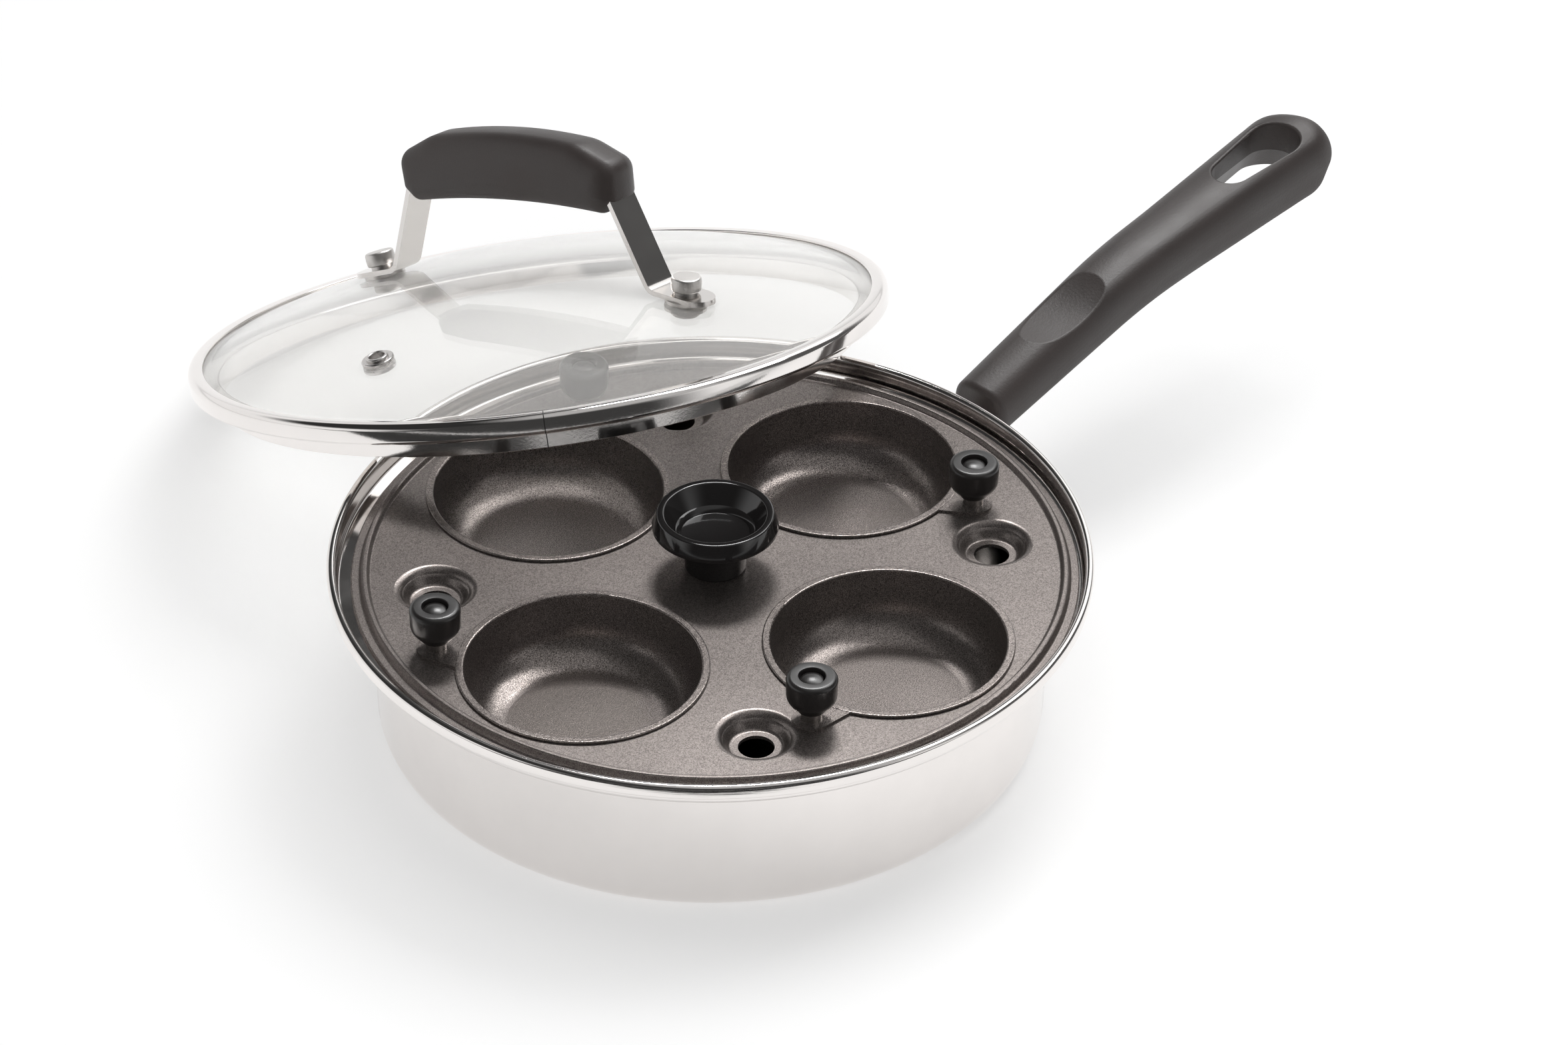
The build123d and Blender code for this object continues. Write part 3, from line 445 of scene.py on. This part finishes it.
VENT_REACH = 68.5
VENT_BORE_R = 2.3
VENT_TUBE_R = 3.3
VENT_FLANGE_R = 4.75
VENT_FLANGE = 0.9
VENT_UNDER_H = -4.04
VENT_TUBE_H = 1.7

NUT_REACH = 58
NUT_BORE_R = 2
NUT_COLLAR_R = 3.5
NUT_R = 4.5
NUT_LOW = 2.5
NUT_COLLAR_H = 3.4
NUT_TOP = 7.5


def dome(reach, below=0.0):
    """The height of the glass at a reach from its axis, or of a surface so far below it."""
    return GLASS_TOP - DOME_R + math.sqrt((DOME_R - below)**2 - reach**2)


def dome_line(edge, below=0.0):
    reaches = [edge * k / GLASS_STEPS for k in range(GLASS_STEPS + 1)]
    return [Vector((reach, dome(reach, below))) for reach in reaches]


def on_dome(reach, degrees):
    """A place on the glass, its Z standing straight off the surface."""
    lean = Matrix.Rotation(math.asin(reach / DOME_R), 4, "Y")
    return LID @ turned_by(degrees) @ Matrix.Translation((reach * MM, 0, dome(reach) * MM)) @ lean


glass_edge = rounded([
    (GLASS_R, GLASS_EDGE_H, 0), (GLASS_EDGE_R, GLASS_EDGE_H, GLASS_EDGE_ROUND),
    (GLASS_EDGE_R, GLASS_EDGE_H - GLASS, GLASS_EDGE_ROUND), (GLASS_UNDER_R, GLASS_EDGE_H - GLASS, 0)])
glass_line = dome_line(GLASS_R) + glass_edge[1:-1] + dome_line(GLASS_UNDER_R, GLASS)[::-1]
glass = lathe("lid_dome", glass_line, "glass", LID, 288, 40)
stands_for(glass, "lid_glass", "lid")

band = lathe("lid_band", rounded([
    (GLASS_R, 0, 0.3), (BAND_R, 0, 1.9), (BAND_R, BAND_LOW, 1.3), (SKIRT_R, BAND_LOW, 0.6),
    (SKIRT_R, SKIRT_LOW, 0.2), (SKIRT_R - BAND, SKIRT_LOW, 0.2), (SKIRT_R - BAND, BAND_LOW + BAND, 1.2),
    (BAND_R - BAND, BAND_LOW + BAND, 0.6), (BAND_R - BAND, -BAND, 1.2), (GLASS_R, -BAND, 0.3)], 10),
    "polished", LID, 360)
stands_for(band, "lid_rim_band", "lid")

# The band's butt seam, a dark hairline just proud of its top and its outer side

verts = []
for point in rounded([
        (SEAM_START_R, 0, 0), (BAND_R, 0, 1.9), (BAND_R, BAND_LOW, 1.3), (SKIRT_R, BAND_LOW, 0.6),
        (SKIRT_R, SKIRT_LOW, 0)], 10):
    reach = point.x + (SEAM_LIFT if point.y > SEAM_SIDE_H else 0.0)
    height = point.y + (SEAM_LIFT if point.y > SEAM_TOP_H else 0.0)
    verts += [(reach, -SEAM_W / 2, height), (reach, SEAM_W / 2, height)]
faces = [(k, k + 1, k + 3, k + 2) for k in range(0, len(verts) - 2, 2)]
seam = mesh_object("lid_band_seam", verts, faces, "matt", LID @ turned_by(SEAM_DEGREES))
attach(seam, "lid")

vent = lathe("vent_eyelet", rounded([
    (VENT_BORE_R, VENT_UNDER_H - VENT_FLANGE, 0.2), (VENT_FLANGE_R, VENT_UNDER_H - VENT_FLANGE, EDGE),
    (VENT_FLANGE_R, VENT_UNDER_H, 0), (VENT_TUBE_R, VENT_UNDER_H, 0), (VENT_TUBE_R, 0, 0),
    (VENT_FLANGE_R, 0, 0), (VENT_FLANGE_R, VENT_FLANGE, EDGE), (VENT_TUBE_R, VENT_FLANGE, 0),
    (VENT_TUBE_R, VENT_TUBE_H, EDGE), (VENT_BORE_R, VENT_TUBE_H, EDGE)]),
    "satin", on_dome(VENT_REACH, -90), 72)
stands_for(vent, "steam_vent", "lid")

nut_line = rounded([
    (NUT_BORE_R, NUT_LOW, 0), (NUT_COLLAR_R, NUT_LOW, 0), (NUT_COLLAR_R, NUT_COLLAR_H, 0),
    (NUT_R - 0.15, NUT_COLLAR_H, 0.5), (NUT_R, NUT_COLLAR_H + 2, 0), (NUT_R - 0.2, NUT_TOP, 0.7),
    (0, NUT_TOP, 0), (0, NUT_LOW + 0.1, 0)])
nuts = []
for turn in (0, 180):
    nuts.append(lathe(f"lid_nut_{turn}", nut_line, "nut", on_dome(NUT_REACH, turn), 72))
    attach(nuts[-1], "lid")
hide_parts("lid_handle_nuts")


# Camera, from the measured view: pitch and roll in radians, its place in metres

CAMERA_TURN = math.radians(46.5)
CAMERA_PITCH = 0.6162
CAMERA_ROLL = 0.0066
CAMERA_PLACE = (-0.92969, -0.90989, 0.98355)
CAMERA_LENS = 134.23
SENSOR_WIDTH = 36.0

TURN_COS, TURN_SIN = math.cos(CAMERA_TURN), math.sin(CAMERA_TURN)
right = Vector((TURN_COS, -TURN_SIN, 0))
forward = Vector((
    TURN_SIN * math.cos(CAMERA_PITCH), TURN_COS * math.cos(CAMERA_PITCH), -math.sin(CAMERA_PITCH)))
up = right.cross(forward)
rolled_right = math.cos(CAMERA_ROLL) * right + math.sin(CAMERA_ROLL) * up
rolled_up = math.cos(CAMERA_ROLL) * up - math.sin(CAMERA_ROLL) * right
camera_data = bpy.data.cameras.new("camera")
camera_data.sensor_width = SENSOR_WIDTH
camera_data.lens = CAMERA_LENS
camera = bpy.data.objects.new("camera", camera_data)
bpy.context.scene.collection.objects.link(camera)
camera.matrix_world = Matrix.Translation(CAMERA_PLACE) @ Matrix(
    (rolled_right, rolled_up, -forward)).transposed().to_4x4()
bpy.context.scene.camera = camera


# Studio: places and directions count to the camera's right, away from it and up, in metres

def to_world(x, y, z):
    """From the camera's level directions to the model's frame."""
    return Vector((x * TURN_COS + y * TURN_SIN, -x * TURN_SIN + y * TURN_COS, z))


def sheet(name, corners):
    """A flat staged face, which isn't part of the object."""
    mesh = bpy.data.meshes.new(name)
    mesh.from_pydata([tuple(c) for c in corners], [], [tuple(range(len(corners)))])
    obj = bpy.data.objects.new(name, mesh)
    bpy.context.scene.collection.objects.link(obj)
    return obj


def hide_from(obj, *rays):
    for ray in rays:
        setattr(obj, f"visible_{ray}", False)


def by_ray(tree, lit, mirrored, seen):
    """A strength for light that falls on things, for mirror images and for what the camera sees."""
    path = tree.nodes.new("ShaderNodeLightPath").outputs
    direct = add(tree, "ShaderNodeMath", operation="MAXIMUM", Value=path["Is Camera Ray"])
    tree.links.new(path["Is Transmission Ray"], direct.inputs[1])
    shine = ramp(tree, path["Is Glossy Ray"], lit, mirrored)
    return ramp(tree, direct.outputs[0], shine, seen)


FLOOR = 6.0
floor = sheet("floor", [(-FLOOR, -FLOOR, 0), (FLOOR, -FLOOR, 0), (FLOOR, FLOOR, 0), (-FLOOR, FLOOR, 0)])
material, tree, shader = new_material("white_floor")
fill(tree, shader, Base_Color=(0.72, 0.72, 0.72, 1), Roughness=0.9, Specular_IOR_Level=0.0,
     Emission_Color=(1, 1, 1, 1), Emission_Strength=by_ray(tree, 0.0, 0.38, 0.36))
floor.data.materials.append(material)

# A dark card on the floor before the pan, seen only in mirror images

CARD_SIDE = 1.2
CARD_START = -0.169
CARD_END = -2
CARD_H = 0.002
card = sheet("dark_card", [to_world(x, y, CARD_H) for x, y in (
    (-CARD_SIDE, CARD_START), (-CARD_SIDE, CARD_END), (CARD_SIDE, CARD_END), (CARD_SIDE, CARD_START))])
material, tree, shader = new_material("black_card")
fill(tree, shader, Base_Color=(0.015, 0.015, 0.015, 1), Roughness=0.9)
card.data.materials.append(material)
hide_from(card, "camera", "diffuse", "transmission", "shadow")


def area_light(name, place, width, height, power):
    """A soft lamp of so many watts, aimed at the model's origin."""
    data = bpy.data.lights.new(name, "AREA")
    data.shape = "RECTANGLE"
    data.size = width
    data.size_y = height
    data.energy = power
    light = bpy.data.objects.new(name, data)
    bpy.context.scene.collection.objects.link(light)
    light.location = place
    light.rotation_mode = "QUATERNION"
    light.rotation_quaternion = (-place).to_track_quat("-Z", "Y")
    hide_from(light, "camera")
    return light


area_light("key", to_world(0.7, 0.8, 1.5), 1.1, 0.9, 14)
fill_light = area_light("fill", to_world(-0.1, 0.1, 1.7), 1.4, 1.2, 8)
front_light = area_light("front", to_world(-0.2, -1.6, 1.0), 1.6, 1.0, 10)
high_light = area_light("high", to_world(0.05, 0.82, 1.22), 0.36, 0.2, 9)
side_light = area_light("side", to_world(0.42, 0.78, 0.56), 0.6, 0.35, 0.75)
for light in (fill_light, front_light):
    hide_from(light, "glossy")
for light in (high_light, side_light):
    hide_from(light, "diffuse", "transmission")


# World: white for what the camera sees, and shaped by direction for what is mirrored

world = bpy.data.worlds.new("studio")
bpy.context.scene.world = world
world.use_nodes = True
tree = world.node_tree
way = tree.nodes.new("ShaderNodeTexCoord").outputs["Generated"]
height = add(tree, "ShaderNodeSeparateXYZ", Vector=way).outputs["Z"]


def facing(axis):
    return vector_math(tree, "DOT_PRODUCT", way, axis)["Value"]


def fade(value, start, end, low, high):
    """A soft step from low to high as a value goes from start to end."""
    return ramp(tree, value, low, high, start, end, "SMOOTHSTEP")


ceiling = fade(facing(right + Vector((0, 0, 1))), 0.5, 0.9, 0.03, 0.5)
sky = fade(height, 0.28, 0.5, 0.95, ceiling)
behind = fade(facing(to_world(0, -1, 0)), 0.45, 0.8, sky, 0.05)
mirrored = fade(facing(to_world(0.86, 0.35, 0.37)), 0.72, 0.95, behind, 0.1)
fill(tree, tree.nodes["Background"], Color=(1, 1, 1, 1), Strength=by_ray(tree, 0.27, mirrored, 1.0))

bpy.context.scene.view_settings.view_transform = "Standard"
